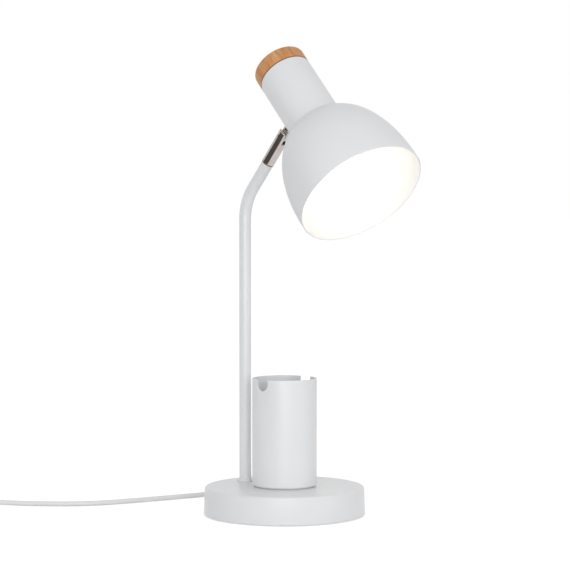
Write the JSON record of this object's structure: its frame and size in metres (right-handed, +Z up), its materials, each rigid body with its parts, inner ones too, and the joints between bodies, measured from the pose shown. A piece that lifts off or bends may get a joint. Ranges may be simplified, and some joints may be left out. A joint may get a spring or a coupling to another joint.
{
  "type": "desk lamp",
  "caption": "Desk lamp with a bell shade on a swivel and tilt knuckle, a bent arm, a round weighted base with a notched pen cup, and a mains cord with an inline switch.",
  "frame": {"origin": "on the table, under the middle of the round base", "axes": "+Z up, -Y towards the side that the shade leans over, the cup's notches lie on X"},
  "size_m": [0.3806, 0.5147, 0.462],
  "materials": {
    "white_enamel": "semi-gloss",
    "cast_weight": "as cast",
    "steel": "zinc plated",
    "chrome": "polished",
    "brass": "plain",
    "dark_rubber": "matt",
    "grey_silicone": "matt",
    "white_plastic": "satin",
    "cord_sheath": "satin",
    "opal_bulb": "satin, lit",
    "beech": "clear matt lacquer"
  },
  "bodies": {
    "stand": {"base_cover": "white_enamel", "base_weight": "cast_weight", "base_plate": "steel", "plate_screws": "steel", "foot_pad": "dark_rubber", "cord_gland": "white_plastic", "cord_clamp": "white_plastic", "clamp_screws": "steel", "inner_lead": "cord_sheath", "cup_ring": "grey_silicone", "pen_cup": "white_enamel", "cup_washer": "steel", "cup_screw": "steel", "cup_nut": "steel", "arm_collar": "white_enamel", "arm_nipple": "brass", "arm_washer": "steel", "arm_nut": "steel", "arm_tube": "white_enamel", "swivel_nipple": "brass", "swivel_ring": "brass", "cord_run": "cord_sheath", "switch_base": "white_plastic", "switch_cover": "white_plastic", "switch_screws": "steel", "switch_contacts": "brass", "cord_lead": "cord_sheath", "cord_coil": "cord_sheath", "cord_tie": "white_plastic", "cord_end": "cord_sheath", "plug_body": "white_plastic", "plug_pins": "brass"},
    "knuckle": {"knuckle_barrel": "chrome", "pivot_washers": "white_plastic", "pivot_screw": "chrome"},
    "head": {"knuckle_tongue": "chrome", "stud_washer": "white_plastic", "stud_nut": "steel", "neck_housing": "white_enamel", "shade_bell": "white_enamel", "shade_ring": "white_plastic", "lampholder_body": "white_plastic", "screw_shell": "brass", "centre_contact": "brass", "terminal_screws": "brass", "head_lead": "cord_sheath", "bulb_globe": "opal_bulb", "bulb_collar": "white_plastic", "bulb_screw_cap": "chrome", "bulb_contact": "brass", "cap_bracket": "steel", "cap_screw": "steel", "wooden_cap": "beech"},
    "rocker": {"switch_rocker": "white_plastic"}
  },
  "joints": [
    {"name": "head_swivel", "type": "hinge", "parent": "stand", "child": "knuckle", "pos_m": [0, 0.02283, 0.34769], "axis": [0, -0.632, 0.7749], "range_deg": [-165, 165]},
    {"name": "head_tilt", "type": "hinge", "parent": "knuckle", "child": "head", "pos_m": [0, 0.00184, 0.37342], "axis": [0.9954, -0.0743, -0.0606], "range_deg": [-60, 45]},
    {"name": "switch_rocker", "type": "hinge", "parent": "stand", "child": "rocker", "pos_m": [-0.192, 0.293, 0.0095], "axis": [-0.7912, -0.6115, 0], "range_deg": [-14, 0]}
  ]
}
